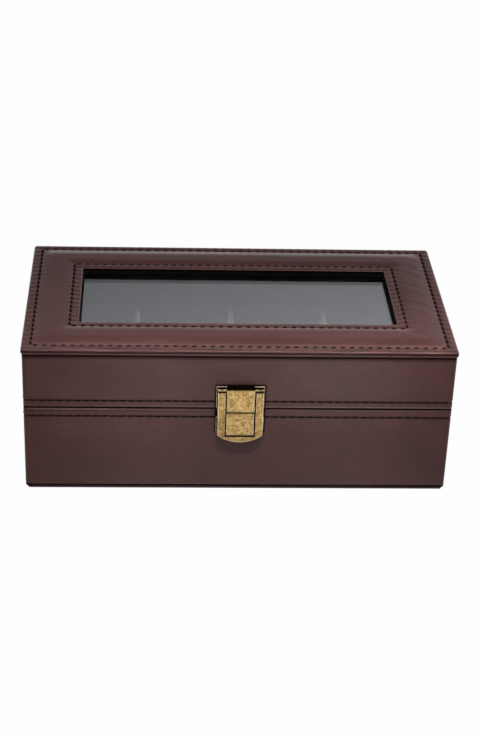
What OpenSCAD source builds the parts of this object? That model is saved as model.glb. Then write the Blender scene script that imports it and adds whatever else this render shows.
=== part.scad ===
// Watch valet: a leatherette-wrapped box with four watch slots, a padded window lid and a brass hasp.
// Millimetres. The origin is the middle of the underside, +X is right, +Y is the back and +Z is up.

/* [Box] */
// Width of the box, left to right
body_w = 214; // [190:1:240]
// Depth of the box, front to back
body_d = 116; // [104:1:130]
// Height of the base's rim above the table
base_h = 47.8; // [44:0.1:56]
// Open line between the base's rim and the lid's rim
lid_gap = 0.5; // [0.4:0.1:1]
// Height of the lid's side walls
lid_side_h = 29.6; // [26:0.1:40]
// Radius of the upright corners
corner_r = 1.5; // [1:0.1:2.5]

/* [Boards and skins] */
// Thickness of the side boards
board_t = 4; // [3:0.1:5]
// Thickness of the leatherette skin on the sides
wrap_t = 0.8; // [0.6:0.1:1]
// Thickness of the lining cards on the walls
lining_t = 0.7; // [0.5:0.1:1]
// How far the wall lining stays below the rim
lining_drop = 0.2; // [0.2:0.1:2]
// Thickness of the panel under the box
panel_t = 1.3; // [1:0.1:2]
// How far that panel stays inside the box's edge
panel_inset = 1; // [0.6:0.1:2]
// Thickness of the bottom board
bottom_t = 4; // [3:0.1:5]
// Thickness of the floor lining
floor_t = 1; // [0.6:0.1:1.5]

/* [Slots and pillows] */
// Thickness of a divider
divider_t = 2.6; // [2:0.1:4]
// How far the dividers' tops stay below the base's rim
divider_drop = 4.2; // [2:0.1:8]
// Length of a pillow, front to back
pillow_len = 72; // [60:1:80]
// Height of a pillow
pillow_h = 38; // [30:0.5:38]
// Gap between a pillow and the dividers beside it
pillow_gap = 0.5; // [0.3:0.1:2]
// Gap under a pillow
pillow_lie = 0.3; // [0.2:0.1:0.5]
// How far a pillow's ends are drawn in
pillow_draw = 5; // [2:0.5:8]

/* [Top and window] */
// Thickness of the top's edge
top_edge_h = 2.7; // [2.4:0.1:4]
// How far the top stands out past the sides
overhang = 0.5; // [0.2:0.1:2]
// Width of the window
window_w = 160; // [140:1:166]
// Depth of the window
window_d = 60; // [50:1:64]
// Thickness of the top's leatherette cover
cover_t = 0.8; // [0.6:0.1:1]
// Radius of the top's corners, seen from above
top_corner_r = 1.8; // [1:0.1:4]
// Radius of the window's corners
window_r = 1; // [0.5:0.1:3]
// Radius of the cover's edges
cover_edge_r = 1; // [0.5:0.1:1.5]
// Distance of the outer stitch row from the top's edge
stitch_in_outer = 4.7; // [3.5:0.1:6]
// Distance of the inner stitch row from the window
stitch_in_inner = 4.7; // [3.5:0.1:6]
// Rise of the padding above the top's margins
pad_rise = 1.7; // [1:0.1:3]
// Depth of the stitched valleys
stitch_dip = 0.2; // [0.1:0.05:0.4]
// Thickness of the black strip round the window
seal_t = 0.6; // [0.4:0.1:1]
// How far that strip stays below the top's margins
seal_drop = 0.7; // [0.5:0.1:1.2]
// Thickness of the glass
pane_t = 2.5; // [2:0.1:4]
// How far the glass reaches under the window's edge
pane_lap = 5; // [3:0.5:8]
// Gap between the glass and the rebate that holds it
pane_gap = 0.3; // [0.2:0.1:0.6]
// Thickness of the retainer under the glass
retainer_lip = 2.5; // [2:0.1:4]
// Gap round the retainer
retainer_gap = 0.2; // [0.1:0.1:0.5]

/* [Rear hinges] */
// Distance of each hinge's middle from the box's end
hinge_in = 45; // [30:1:65]
// Length of a hinge
hinge_len = 24; // [18:1:36]
// Radius of a hinge's barrel
barrel_r = 2; // [1.8:0.1:3]
// Gap between the barrel and the box's back
barrel_gap = 0.3; // [0.3:0.1:1]
// Radius of a hinge pin
hinge_pin_r = 0.8; // [0.6:0.05:1]
// Running clearance of the pins
pin_clear = 0.05; // [0.02:0.01:0.08]
// Gap between neighbouring knuckles
knuckle_gap = 0.2; // [0.1:0.05:0.4]
// Gap between the closed leaves
leaf_gap = 0.1; // [0.06:0.02:0.2]
// How far a leaf reaches in over the back board
leaf_reach = 3.6; // [3:0.1:3.8]
// Angle at which the lid meets its stop
lid_open = 100; // [80:1:110]
// Angle of the stop rail below the level, behind the barrel
stop_drop = 40; // [30:1:50]
// Angle of play left between the lid's lug and the stop rail
stop_play = 4; // [2:1:8]
// Radius of the stop rail
stop_r = 0.6; // [0.5:0.05:0.9]
// Gap between the stop rail and a turning knuckle
stop_gap = 0.2; // [0.15:0.05:0.4]
// Thickness of the lid's stop lug
stop_lug_t = 0.8; // [0.6:0.1:1.2]
// Shank radius of the hinge screws
screw_r = 0.8; // [0.6:0.05:1]
// Head radius of the hinge screws
screw_head_r = 1.5; // [1.2:0.05:1.6]
// Thickness of the screws' heads
screw_head_t = 0.5; // [0.3:0.05:0.6]
// Length of the screws' shanks in the board
screw_len = 8; // [5:0.5:14]
// Distance of a screw from a hinge's middle
screw_x = 8; // [6:0.5:9]

/* [Clasp] */
// Place of the clasp to the right of the middle
clasp_x = 0.5; // [-20:0.5:20]
// Width of the hasp
clasp_w = 22.6; // [22:0.2:30]
// Width of the plates behind the hasp
plate_w = 23.8; // [23:0.2:32]
// Thickness of those plates
plate_t = 0.5; // [0.4:0.05:0.6]
// Reach of the clasp above the lid's rim
clasp_up = 12.6; // [10:0.1:20]
// Reach of the hasp below the base's rim
clasp_down = 16.7; // [15:0.1:24]
// Width of the two blocks
block_w = 13.8; // [11:0.2:14]
// How far the blocks stand out
block_d = 4.8; // [4.4:0.1:6]
// Chamfer round the blocks' faces
block_chamfer = 0.5; // [0.2:0.05:0.7]
// Gap between the two blocks
block_split = 0.5; // [0.3:0.1:0.8]
// Gap between the blocks and the hasp's rails
rail_gap = 0.7; // [0.4:0.1:0.8]
// Thickness of the hasp's face
flap_t = 0.9; // [0.7:0.05:1.4]
// How far the hasp's face stands proud of the blocks' faces
flap_proud = 0.1; // [0:0.05:0.5]
// Height of the hasp's bar at its middle
flap_bar = 3.2; // [3:0.1:5]
// Height of the round end of the hasp
flap_round = 4.1; // [2:0.1:5]
// How far the tops of the hasp's rails stay below the clasp's top
rail_drop = 1.3; // [0.8:0.1:1.8]
// Thickness of the hasp's turned-in edges
flange_t = 0.8; // [0.6:0.05:1]
// Gap between the hasp's turned-in edges and the rivets' heads
flange_clear = 0.1; // [0.05:0.05:0.3]
// Radius of the hasp's pin
clasp_pin_r = 0.6; // [0.5:0.05:0.7]
// Distance of that pin below the clasp's top
clasp_pin_drop = 1.1; // [1:0.05:1.4]
// Distance of that pin from the box
clasp_pin_d = 2.6; // [2.2:0.05:3]
// Wall of the hasp's round ears about the pin
ear_wall = 0.45; // [0.35:0.05:0.6]
// How far the catch's plate stays below the top of its block
catch_plate_drop = 4.4; // [3:0.1:6]
// Wall of the hollow catch block
catch_wall = 0.8; // [0.6:0.05:1]
// Thickness of the catch spring's strip
spring_t = 0.4; // [0.3:0.05:0.5]
// Width of the catch spring's strip
spring_w = 0.8; // [0.6:0.05:1]
// Gap between that strip and the catch block's front wall
spring_clear = 1.2; // [0.8:0.1:1.6]
// Gap above the spring's arms
spring_head = 1; // [0.5:0.1:2]
// Half height of the spring's cheeks
cheek_half_h = 1.6; // [1.4:0.1:2]
// How far the spring's cheeks reach into the hasp's holes
cheek_catch = 0.5; // [0.3:0.05:0.6]
// Radius of the holes that the cheeks snap into
cheek_hole_r = 0.8; // [0.75:0.05:0.9]
// Shank radius of the rivets
rivet_r = 0.6; // [0.5:0.05:0.7]
// Head radius of the rivets
rivet_head_r = 0.95; // [0.9:0.05:1.4]
// Height of the rivets' heads
rivet_head_t = 0.4; // [0.3:0.05:0.45]
// Reach of the rivets into the board
rivet_len = 3; // [2:0.1:3]
// Clearance round rivets and screws
fastener_clear = 0.02; // [0.01:0.01:0.05]

/* [Hidden] */
$fn = 48;

// Colours
leather_colour = "#5a4242";
board_colour = "#a98d68";
lining_colour = "#3a2c28";
suede_colour = "#c9b9a3";
brass_colour = "#a88750";
glass_colour = "#9aa0a8";
steel_colour = "#a8a8ac";
seal_colour = "#141212";
foam_colour = "#d9cfa8";

// Heights
eps = 0.01;
base_rim = base_h;
base_board_top = base_rim - wrap_t;
lid_rim = base_rim + lid_gap;
lid_board_z0 = lid_rim + wrap_t;
top_z0 = lid_rim + lid_side_h;
top_z1 = top_z0 + top_edge_h;
core_top = top_z1 - cover_t;
seal_top = top_z1 - seal_drop;
pane_z0 = top_z0 - pane_t;
retainer_z0 = pane_z0 - retainer_lip;
ceiling_z0 = retainer_z0 - lining_t;
bottom_z1 = panel_t + bottom_t;
floor_z = bottom_z1 + floor_t;
base_lining_z1 = base_rim - lining_drop;
lid_lining_z0 = lid_rim + lining_drop;
divider_z1 = base_rim - divider_drop;
split_z = base_rim + lid_gap / 2;

// Plan sizes, as insets from the box's outer faces
in_board = wrap_t;
in_lining = wrap_t + board_t;
in_room = in_lining + lining_t;
room_w = body_w - 2 * in_room;
room_d = body_d - 2 * in_room;
slots = 4;
slot_w = (room_w - (slots - 1) * divider_t) / slots;
slot_pitch = slot_w + divider_t;
top_w = body_w + 2 * overhang;
top_d = body_d + 2 * overhang;
frame_x = (top_w - window_w) / 2;
frame_y = (top_d - window_d) / 2;
pane_w = window_w + 2 * pane_lap;
pane_d = window_d + 2 * pane_lap;

// Rear hinges
hinge_x = body_w / 2 - hinge_in;
hinge_y = body_d / 2 + barrel_gap + barrel_r;
leaf_t = wrap_t + lid_gap / 2 - leaf_gap / 2;
leaf_y0 = body_d / 2 - wrap_t - leaf_reach;
leaf_y1 = body_d / 2;
screw_y = body_d / 2 - wrap_t - board_t / 2;
knuckle_len = (hinge_len - 2 * knuckle_gap) / 3;
hinge_bore_r = hinge_pin_r + pin_clear;
stop_reach = barrel_r + stop_gap + stop_r;
stop_angle = -stop_drop;
stop_touch = asin(stop_r / stop_reach) + asin(stop_lug_t / 2 / stop_reach) + stop_play;
lug_angle = stop_angle + stop_touch + lid_open;
lug_reach = stop_reach + stop_r;

// Clasp
clasp_z1 = lid_rim + clasp_up;
clasp_z0 = base_rim - clasp_down;
flap_d1 = block_d + flap_proud;
flap_d0 = flap_d1 - flap_t;
flap_side_z0 = clasp_z0 + flap_round;
flap_end_r = (pow(clasp_w / 2, 2) + pow(flap_round, 2)) / (2 * flap_round);
bar_z1 = clasp_z0 + flap_bar;
window_half = block_w / 2 + rail_gap;
rail_z1 = clasp_z1 - rail_drop;
flange_back = plate_t + rivet_head_t + flange_clear;
clasp_pin_z = clasp_z1 - clasp_pin_drop;
clasp_bore_r = clasp_pin_r + pin_clear;
lug_r = clasp_bore_r + ear_wall;
flange_z0 = flap_side_z0 + flange_t;
catch_z1 = split_z - block_split / 2;
upper_block_z0 = split_z + block_split / 2;
catch_z0 = bar_z1 + rail_gap;
catch_plate_z1 = catch_z1 - catch_plate_drop;
cheek_z = (catch_z0 + catch_z1) / 2;
cheek_d = block_d - catch_wall - spring_clear - spring_w / 2;
rivet_x = (window_half + clasp_w / 2) / 2;
lid_rivet_z = (lid_rim + clasp_z1) / 2;
base_rivet_z = (catch_z0 + catch_plate_z1) / 2;

// Plain shapes

// A rectangle with true round corners, about the origin
module round_rect(w, d, r) {
    square([w - 2 * r, d], center = true);
    square([w, d - 2 * r], center = true);
    for (x = [-1, 1], y = [-1, 1])
        translate([x * (w / 2 - r), y * (d / 2 - r)])
            circle(r);
}

// A block about the Z axis between two heights
module slab(w, d, z0, z1) {
    translate([-w / 2, -d / 2, z0])
        cube([w, d, z1 - z0]);
}

// A flat frame: a block with an opening right through
module flat_frame(w, d, open_w, open_d, z0, z1) {
    difference() {
        slab(w, d, z0, z1);
        slab(open_w, open_d, z0 - 1, z1 + 1);
    }
}

// A wall piece along the front or the back, inset from the box's face
module long_wall(side, inset, t, w, z0, z1) {
    y0 = side < 0 ? -body_d / 2 + inset : body_d / 2 - inset - t;
    translate([-w / 2, y0, z0])
        cube([w, t, z1 - z0]);
}

// A wall piece along the left or the right, inset from the box's face
module end_wall(side, inset, t, d, z0, z1) {
    x0 = side < 0 ? -body_w / 2 + inset : body_w / 2 - inset - t;
    translate([x0, -d / 2, z0])
        cube([t, d, z1 - z0]);
}

// An outline in X and Z at the clasp's place, standing from one distance off the box's front to another
module clasp_slab(d0, d1) {
    translate([clasp_x, -body_d / 2 - d0, 0])
        rotate([90, 0, 0])
            linear_extrude(d1 - d0)
                children();
}

// A rod along X at the clasp's place
module clasp_rod(r, x0, x1, d, z) {
    translate([clasp_x + x0, -body_d / 2 - d, z])
        rotate([0, 90, 0])
            cylinder(r = r, h = x1 - x0);
}

// Rivet shanks or holes through a plate, the skin and the board
module rivet_rods(r, z, d0, d1) {
    clasp_slab(d0, d1)
        for (x = [-rivet_x, rivet_x])
            translate([x, z])
                circle(r);
}

// A rod along X on the rear hinges' axis
module hinge_rod(r, x0, x1) {
    translate([x0, hinge_y, split_z])
        rotate([0, 90, 0])
            cylinder(r = r, h = x1 - x0);
}

// Upright rods at the screws of one hinge
module screw_rods(r, x, z0, z1) {
    for (s = [-1, 1])
        translate([x + s * screw_x, screw_y, z0])
            cylinder(r = r, h = z1 - z0);
}

// The room that both hinges' leaves take out of a skin's rim
module leaf_cuts(z0, z1) {
    for (s = [-1, 1])
        translate([s * hinge_x - hinge_len / 2 - eps, leaf_y0 - eps, z0])
            cube([hinge_len + 2 * eps, leaf_reach + wrap_t + 1, z1 - z0]);
}

// Plan of the top's ring: a rectangle with round corners.
// The share is 0 at the top's edge and 1 at the window's edge, and the offset runs inwards from there.
corner_steps = 4;
corner_signs = [[1, 1], [-1, 1], [-1, -1], [1, -1]];
least_corner_r = 0.3;
most_corner_r = max(top_corner_r, window_r + cover_t);

function ring_corner_r(share, offset) =
    max(least_corner_r, min(most_corner_r, (1 - share) * top_corner_r + share * window_r - offset));
function ring_plan(share, offset) =
    let (
        half = [top_w / 2 - share * frame_x - offset, top_d / 2 - share * frame_y - offset],
        r = ring_corner_r(share, offset)
    ) [
        for (c = [0 : 3], k = [0 : corner_steps])
            let (a = 90 * (c + k / corner_steps), side = corner_signs[c])
                [side[0] * (half[0] - r) + r * cos(a), side[1] * (half[1] - r) + r * sin(a)]
    ];

// A closed ring whose section is a list of [share, offset, height] points
module ring(section) {
    n = len(section);
    m = 4 * (corner_steps + 1);
    points = [
        for (p = section)
            each [for (q = ring_plan(p[0], p[1])) [q[0], q[1], p[2]]]
    ];
    faces = [
        for (i = [0 : n - 1], c = [0 : m - 1])
            let (j = (i + 1) % n, e = (c + 1) % m)
                each [[m * i + c, m * j + c, m * j + e], [m * i + c, m * j + e, m * i + e]]
    ];
    polyhedron(points, faces);
}

// A flat ring between two offsets, one from the outer plan's share and one from the inner plan's
module flat_ring(outer, inner, z0, z1) {
    translate([0, 0, z0])
        linear_extrude(z1 - z0)
            difference() {
                polygon(ring_plan(outer[0], outer[1]));
                polygon(ring_plan(inner[0], inner[1]));
            }
}

// Base

module underside_panel() {
    color(leather_colour)
        linear_extrude(panel_t)
            round_rect(body_w - 2 * panel_inset, body_d - 2 * panel_inset, corner_r);
}

module base_bottom_board() {
    color(board_colour)
        slab(body_w - 2 * in_lining, body_d - 2 * in_lining, panel_t, bottom_z1);
}

module base_front_board() {
    color(board_colour)
        difference() {
            long_wall(-1, in_board, board_t, body_w - 2 * in_board, panel_t, base_board_top);
            rivet_rods(rivet_r + fastener_clear, base_rivet_z, -wrap_t - rivet_len, 0);
        }
}

module base_back_board() {
    color(board_colour)
        difference() {
            long_wall(1, in_board, board_t, body_w - 2 * in_board, panel_t, base_board_top);
            for (s = [-1, 1])
                screw_rods(screw_r + fastener_clear, s * hinge_x, base_board_top - screw_len, base_rim);
        }
}

module base_left_board() {
    color(board_colour)
        end_wall(-1, in_board, board_t, body_d - 2 * in_lining, panel_t, base_board_top);
}

module base_right_board() {
    color(board_colour)
        end_wall(1, in_board, board_t, body_d - 2 * in_lining, panel_t, base_board_top);
}

module base_wrap() {
    color(leather_colour)
        difference() {
            translate([0, 0, panel_t])
                linear_extrude(base_rim - panel_t)
                    round_rect(body_w, body_d, corner_r);
            slab(body_w - 2 * in_board, body_d - 2 * in_board, 0, base_board_top);
            slab(body_w - 2 * in_lining, body_d - 2 * in_lining, 0, base_rim + 1);
            leaf_cuts(base_board_top, base_rim + 1);
            rivet_rods(rivet_r + fastener_clear, base_rivet_z, -wrap_t - eps, 1);
        }
}

module floor_lining() {
    color(lining_colour)
        slab(body_w - 2 * in_lining, body_d - 2 * in_lining, bottom_z1, floor_z);
}

module base_lining_long(side) {
    color(lining_colour)
        long_wall(side, in_lining, lining_t, body_w - 2 * in_lining, floor_z, base_lining_z1);
}

module base_lining_end(side) {
    color(lining_colour)
        end_wall(side, in_lining, lining_t, room_d, floor_z, base_lining_z1);
}

// A partition with a round top, from the front lining to the back lining
module divider(place) {
    color(suede_colour)
        translate([place * slot_pitch, room_d / 2, 0])
            rotate([90, 0, 0])
                linear_extrude(room_d) {
                    translate([-divider_t / 2, floor_z])
                        square([divider_t, divider_z1 - divider_t / 2 - floor_z]);
                    translate([0, divider_z1 - divider_t / 2])
                        circle(divider_t / 2);
                }
}

// Pillows: a stuffed block whose sections are full in the middle and drawn in towards both seams
pillow_w = slot_w - 2 * pillow_gap;
pillow_rings = 10;
pillow_sides = 32;
pillow_flat = 0.93;
pillow_belly = 3;
pillow_corner = 0.55;

// Half sizes of a pillow's section at a share of its half width, from -1 to 1
function pillow_swell(t) = sqrt(1 - pow(abs(t), pillow_belly));
function pillow_half_len(t) = pillow_len / 2 - pillow_draw * (1 - pillow_swell(t));
function pillow_half_h(t) = pillow_h / 2 - pillow_draw * (1 - pillow_swell(t));

// One coordinate of a round-cornered section at an angle
function squircle(c) = sign(c) * pow(abs(c), pillow_corner);

function pillow_ring(t) = [
    for (k = [0 : pillow_sides - 1])
        let (a = 360 * k / pillow_sides)
            [t * pillow_w / 2,
             pillow_half_len(t) * squircle(cos(a)),
             max(pillow_half_h(t) * squircle(sin(a)), -pillow_flat * pillow_h / 2)]
];

module pillow(place) {
    n = pillow_sides;
    last = pillow_rings * n;
    points = concat(
        [for (i = [0 : pillow_rings]) each pillow_ring(-1 + 2 * i / pillow_rings)],
        [[-pillow_w / 2, 0, 0], [pillow_w / 2, 0, 0]]
    );
    sides = [
        for (i = [0 : pillow_rings - 1], k = [0 : n - 1])
            let (a = i * n + k, b = i * n + (k + 1) % n)
                each [[a, b, b + n], [a, b + n, a + n]]
    ];
    seams = [
        for (k = [0 : n - 1])
            let (e = (k + 1) % n)
                each [[e, k, len(points) - 2], [last + k, last + e, len(points) - 1]]
    ];
    color(suede_colour)
        translate([(place - (slots + 1) / 2) * slot_pitch, 0, floor_z + pillow_lie + pillow_flat * pillow_h / 2])
            polyhedron(points, concat(sides, seams));
}

// Lid

module lid_front_board() {
    color(board_colour)
        difference() {
            long_wall(-1, in_board, board_t, body_w - 2 * in_board, lid_board_z0, top_z0);
            rivet_rods(rivet_r + fastener_clear, lid_rivet_z, -wrap_t - rivet_len, 0);
        }
}

module lid_back_board() {
    color(board_colour)
        difference() {
            long_wall(1, in_board, board_t, body_w - 2 * in_board, lid_board_z0, top_z0);
            for (s = [-1, 1])
                screw_rods(screw_r + fastener_clear, s * hinge_x, lid_rim, lid_board_z0 + screw_len);
        }
}

module lid_left_board() {
    color(board_colour)
        end_wall(-1, in_board, board_t, body_d - 2 * in_lining, lid_board_z0, top_z0);
}

module lid_right_board() {
    color(board_colour)
        end_wall(1, in_board, board_t, body_d - 2 * in_lining, lid_board_z0, top_z0);
}

module lid_wrap() {
    color(leather_colour)
        difference() {
            translate([0, 0, lid_rim])
                linear_extrude(lid_side_h)
                    round_rect(body_w, body_d, corner_r);
            slab(body_w - 2 * in_board, body_d - 2 * in_board, lid_board_z0, top_z0 + 1);
            slab(body_w - 2 * in_lining, body_d - 2 * in_lining, lid_rim - 1, top_z0 + 1);
            leaf_cuts(lid_rim - 1, lid_board_z0);
            rivet_rods(rivet_r + fastener_clear, lid_rivet_z, -wrap_t - eps, 1);
        }
}

module lid_top_board() {
    color(board_colour)
        flat_ring([0, cover_t], [1, -cover_t], top_z0, core_top);
}

// Padding: a lens between the two stitch rows, and the cover that follows it
pad_steps = 12;
pad_crown = 0.8;
valley_z = top_z1 - stitch_dip;
edge_steps = 3;

function pad_offset(k) = (1 - k) * stitch_in_outer - k * stitch_in_inner;
function pad_z(k) = valley_z + (pad_rise + stitch_dip) * pow(sin(180 * k), pad_crown);
function foam_z(k) = max(core_top, pad_z(k) - cover_t);
pad_shares = [for (i = [0 : pad_steps]) i / pad_steps];
foam_line = [for (k = pad_shares) [k, pad_offset(k), foam_z(k)]];
pad_line = [for (k = pad_shares) [k, pad_offset(k), pad_z(k)]];

function reversed(list) = [for (k = [len(list) - 1 : -1 : 0]) list[k]];

// The cover's rounded edges, each from its side up onto the margin
function edge_line(share, inwards) = [
    for (k = [0 : edge_steps])
        let (a = 90 * k / edge_steps)
            [share, inwards * cover_edge_r * (1 - cos(a)), top_z1 - cover_edge_r * (1 - sin(a))]
];
cover_outside = concat(
    [[0, 0, top_z0]],
    edge_line(0, 1),
    pad_line,
    reversed(edge_line(1, -1)),
    [[1, 0, top_z0]]
);
cover_inside = concat(
    [[1, -cover_t, top_z0], [1, -cover_t, core_top]],
    reversed(foam_line),
    [[0, cover_t, core_top], [0, cover_t, top_z0]]
);

module top_foam() {
    color(foam_colour)
        ring(foam_line);
}

module top_cover() {
    color(leather_colour)
        ring(concat(cover_outside, cover_inside));
}

module window_seal() {
    color(seal_colour)
        flat_ring([1, 0], [1, seal_t], top_z0, seal_top);
}

module window_pane() {
    color(glass_colour)
        slab(pane_w, pane_d, pane_z0, top_z0);
}

module pane_retainer() {
    color(board_colour)
        difference() {
            flat_frame(body_w - 2 * (in_lining + retainer_gap), body_d - 2 * (in_lining + retainer_gap),
                       window_w, window_d, retainer_z0, top_z0);
            slab(pane_w + 2 * pane_gap, pane_d + 2 * pane_gap, pane_z0, top_z0 + 1);
        }
}

module lid_ceiling_lining() {
    color(lining_colour)
        flat_frame(body_w - 2 * in_lining, body_d - 2 * in_lining, window_w, window_d, ceiling_z0, retainer_z0);
}

module lid_lining_long(side) {
    color(lining_colour)
        long_wall(side, in_lining, lining_t, body_w - 2 * in_lining, lid_lining_z0, ceiling_z0);
}

module lid_lining_end(side) {
    color(lining_colour)
        end_wall(side, in_lining, lining_t, room_d, lid_lining_z0, ceiling_z0);
}

// Clasp

// A block with chamfers round its face: its plan and its side view, crossed
module clasp_block(z0, z1) {
    half = block_w / 2;
    c = block_chamfer;
    d = block_d;
    intersection() {
        translate([clasp_x, -body_d / 2, z0])
            mirror([0, 1, 0])
                linear_extrude(z1 - z0)
                    polygon([[-half, 0], [half, 0], [half, d - c], [half - c, d], [c - half, d], [-half, d - c]]);
        translate([clasp_x - half, -body_d / 2, 0])
            rotate([90, 0, -90])
                mirror([0, 0, 1])
                    linear_extrude(block_w)
                        polygon([[0, z0], [d - c, z0], [d, z0 + c], [d, z1 - c], [d - c, z1], [0, z1]]);
    }
}

// The plate on the lid, with the block that the hasp swings on
module clasp_hinge_plate() {
    color(brass_colour)
        difference() {
            union() {
                clasp_slab(0, plate_t)
                    translate([-plate_w / 2, lid_rim])
                        square([plate_w, clasp_z1 - lid_rim]);
                clasp_block(upper_block_z0, clasp_z1);
            }
            clasp_rod(clasp_bore_r, -block_w, block_w, clasp_pin_d, clasp_pin_z);
            rivet_rods(rivet_r + fastener_clear, lid_rivet_z, -1, block_d + 1);
        }
}

module clasp_pin() {
    color(brass_colour)
        clasp_rod(clasp_pin_r, -clasp_w / 2, clasp_w / 2, clasp_pin_d, clasp_pin_z);
}

// The hasp's outline: straight rails with a round lower end, open between the rails
module flap_outline() {
    difference() {
        union() {
            translate([-clasp_w / 2, flap_side_z0])
                square([clasp_w, rail_z1 - flap_side_z0]);
            intersection() {
                translate([0, clasp_z0 + flap_end_r])
                    circle(flap_end_r, $fn = 96);
                translate([-clasp_w / 2, clasp_z0 - 1])
                    square([clasp_w, flap_round + 1 + eps]);
            }
        }
        translate([-window_half, bar_z1])
            square([2 * window_half, clasp_z1]);
    }
}

// One turned-in edge of the hasp, with its round ear about the pin
module flap_flange(x0) {
    translate([clasp_x + x0, -body_d / 2, 0])
        rotate([90, 0, -90])
            mirror([0, 0, 1])
                linear_extrude(flange_t) {
                    translate([clasp_pin_d, clasp_pin_z])
                        circle(lug_r);
                    translate([flange_back, flange_z0])
                        square([flap_d0 + eps - flange_back, min(clasp_pin_z, rail_z1) - flange_z0]);
                }
}

module clasp_flap() {
    color(brass_colour)
        difference() {
            union() {
                clasp_slab(flap_d0, flap_d1)
                    flap_outline();
                for (x0 = [-clasp_w / 2, -window_half - flange_t, window_half, clasp_w / 2 - flange_t])
                    flap_flange(x0);
            }
            clasp_rod(clasp_bore_r, -clasp_w, clasp_w, clasp_pin_d, clasp_pin_z);
            for (x0 = [-window_half - flange_t, window_half])
                clasp_rod(cheek_hole_r, x0 - eps, x0 + flange_t + eps, cheek_d, cheek_z);
        }
}

// The plate on the base, with its hollow block and the two side windows for the spring's cheeks
module clasp_catch() {
    color(brass_colour)
        difference() {
            union() {
                clasp_slab(0, plate_t)
                    translate([-plate_w / 2, catch_z0])
                        square([plate_w, catch_plate_z1 - catch_z0]);
                clasp_block(catch_z0, catch_z1);
            }
            clasp_slab(plate_t, block_d - catch_wall)
                translate([-block_w / 2 + catch_wall, catch_z0 + catch_wall])
                    square([block_w - 2 * catch_wall, catch_z1 - catch_z0 - 2 * catch_wall]);
            clasp_slab(plate_t, block_d - catch_wall)
                translate([-block_w, cheek_z - cheek_half_h])
                    square([2 * block_w, 2 * cheek_half_h]);
            rivet_rods(rivet_r + fastener_clear, base_rivet_z, -1, block_d + 1);
        }
}

// The catch spring: a strip bent to a U, with a round cheek on each arm
arm_x = block_w / 2 - catch_wall - spring_t;
cheek_reach = window_half + cheek_catch - spring_t - arm_x;
spring_z0 = catch_z0 + catch_wall;
arm_z1 = catch_z1 - catch_wall - spring_head;
cheek_steps = 12;

function cheek_x(t) = arm_x + cheek_reach * (1 + cos(180 * t)) / 2;
cheek_line = [
    for (k = [-cheek_steps : cheek_steps])
        let (t = k / cheek_steps)
            [cheek_x(t), cheek_z + t * cheek_half_h]
];
arm_inside = concat([[arm_x, spring_z0 + spring_t]], cheek_line, [[arm_x, arm_z1]]);
arm_outside = [for (p = concat([[arm_x, spring_z0]], cheek_line, [[arm_x, arm_z1]])) p + [spring_t, 0]];

function left_side(list) = [for (p = list) [-p[0], p[1]]];

module catch_spring() {
    color(steel_colour)
        clasp_slab(cheek_d - spring_w / 2, cheek_d + spring_w / 2)
            polygon(concat(
                reversed(left_side(arm_outside)),
                arm_outside,
                reversed(arm_inside),
                left_side(arm_inside)
            ));
}

module rivets(z) {
    color(brass_colour) {
        rivet_rods(rivet_r, z, -wrap_t - rivet_len, plate_t + eps);
        rivet_rods(rivet_head_r, z, plate_t, plate_t + rivet_head_t);
    }
}

// Rear hinges

// Where the three knuckles of a hinge start, along the hinge
function knuckle_x(i) = -hinge_len / 2 + i * (knuckle_len + knuckle_gap);

// A bar that stands out of the hinge's axis at an angle from +Y towards +Z
module hinge_bar(x0, x1, angle, reach, t) {
    translate([x0, hinge_y, split_z])
        rotate([angle, 0, 0])
            translate([0, 0, -t / 2])
                cube([x1 - x0, reach, t]);
}

// A leaf with its own knuckles, bored for the pin and drilled for its screws
module hinge_leaf(x, z0, own) {
    difference() {
        union() {
            translate([x - hinge_len / 2, leaf_y0, z0])
                cube([hinge_len, leaf_y1 - leaf_y0, leaf_t]);
            for (i = own) {
                translate([x + knuckle_x(i), leaf_y0, z0])
                    cube([knuckle_len, hinge_y - leaf_y0, leaf_t]);
                hinge_rod(barrel_r, x + knuckle_x(i), x + knuckle_x(i) + knuckle_len);
            }
            children();
        }
        hinge_rod(hinge_bore_r, x - hinge_len, x + hinge_len);
    }
}

// The base's leaf carries the stop rail behind the barrel
module hinge_base_leaf(x) {
    color(brass_colour)
        difference() {
            hinge_leaf(x, base_board_top, [0, 2]) {
                for (i = [0, 2])
                    hinge_bar(x + knuckle_x(i), x + knuckle_x(i) + knuckle_len, stop_angle, stop_reach, stop_r);
                translate([x - hinge_len / 2, hinge_y, split_z])
                    rotate([stop_angle, 0, 0])
                        translate([0, stop_reach, 0])
                            rotate([0, 90, 0])
                                cylinder(r = stop_r, h = hinge_len);
            }
            screw_rods(screw_r + fastener_clear, x, base_board_top - 1, base_rim + 1);
            screw_rods(screw_head_r + fastener_clear, x, base_board_top + leaf_t - screw_head_t, base_rim + 1);
        }
}

// The lid's leaf carries the lug that meets the stop rail
module hinge_lid_leaf(x) {
    z0 = lid_board_z0 - leaf_t;
    color(brass_colour)
        difference() {
            hinge_leaf(x, z0, [1])
                hinge_bar(x + knuckle_x(1), x + knuckle_x(1) + knuckle_len, lug_angle, lug_reach, stop_lug_t);
            screw_rods(screw_r + fastener_clear, x, z0 - 1, lid_board_z0 + 1);
            screw_rods(screw_head_r + fastener_clear, x, z0 - 1, z0 + screw_head_t);
        }
}

module hinge_pin(x) {
    color(brass_colour)
        hinge_rod(hinge_pin_r, x - hinge_len / 2, x + hinge_len / 2);
}

module hinge_base_screws() {
    z1 = base_board_top + leaf_t;
    color(brass_colour)
        for (s = [-1, 1]) {
            screw_rods(screw_r, s * hinge_x, base_board_top - screw_len, z1);
            screw_rods(screw_head_r, s * hinge_x, z1 - screw_head_t, z1);
        }
}

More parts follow.
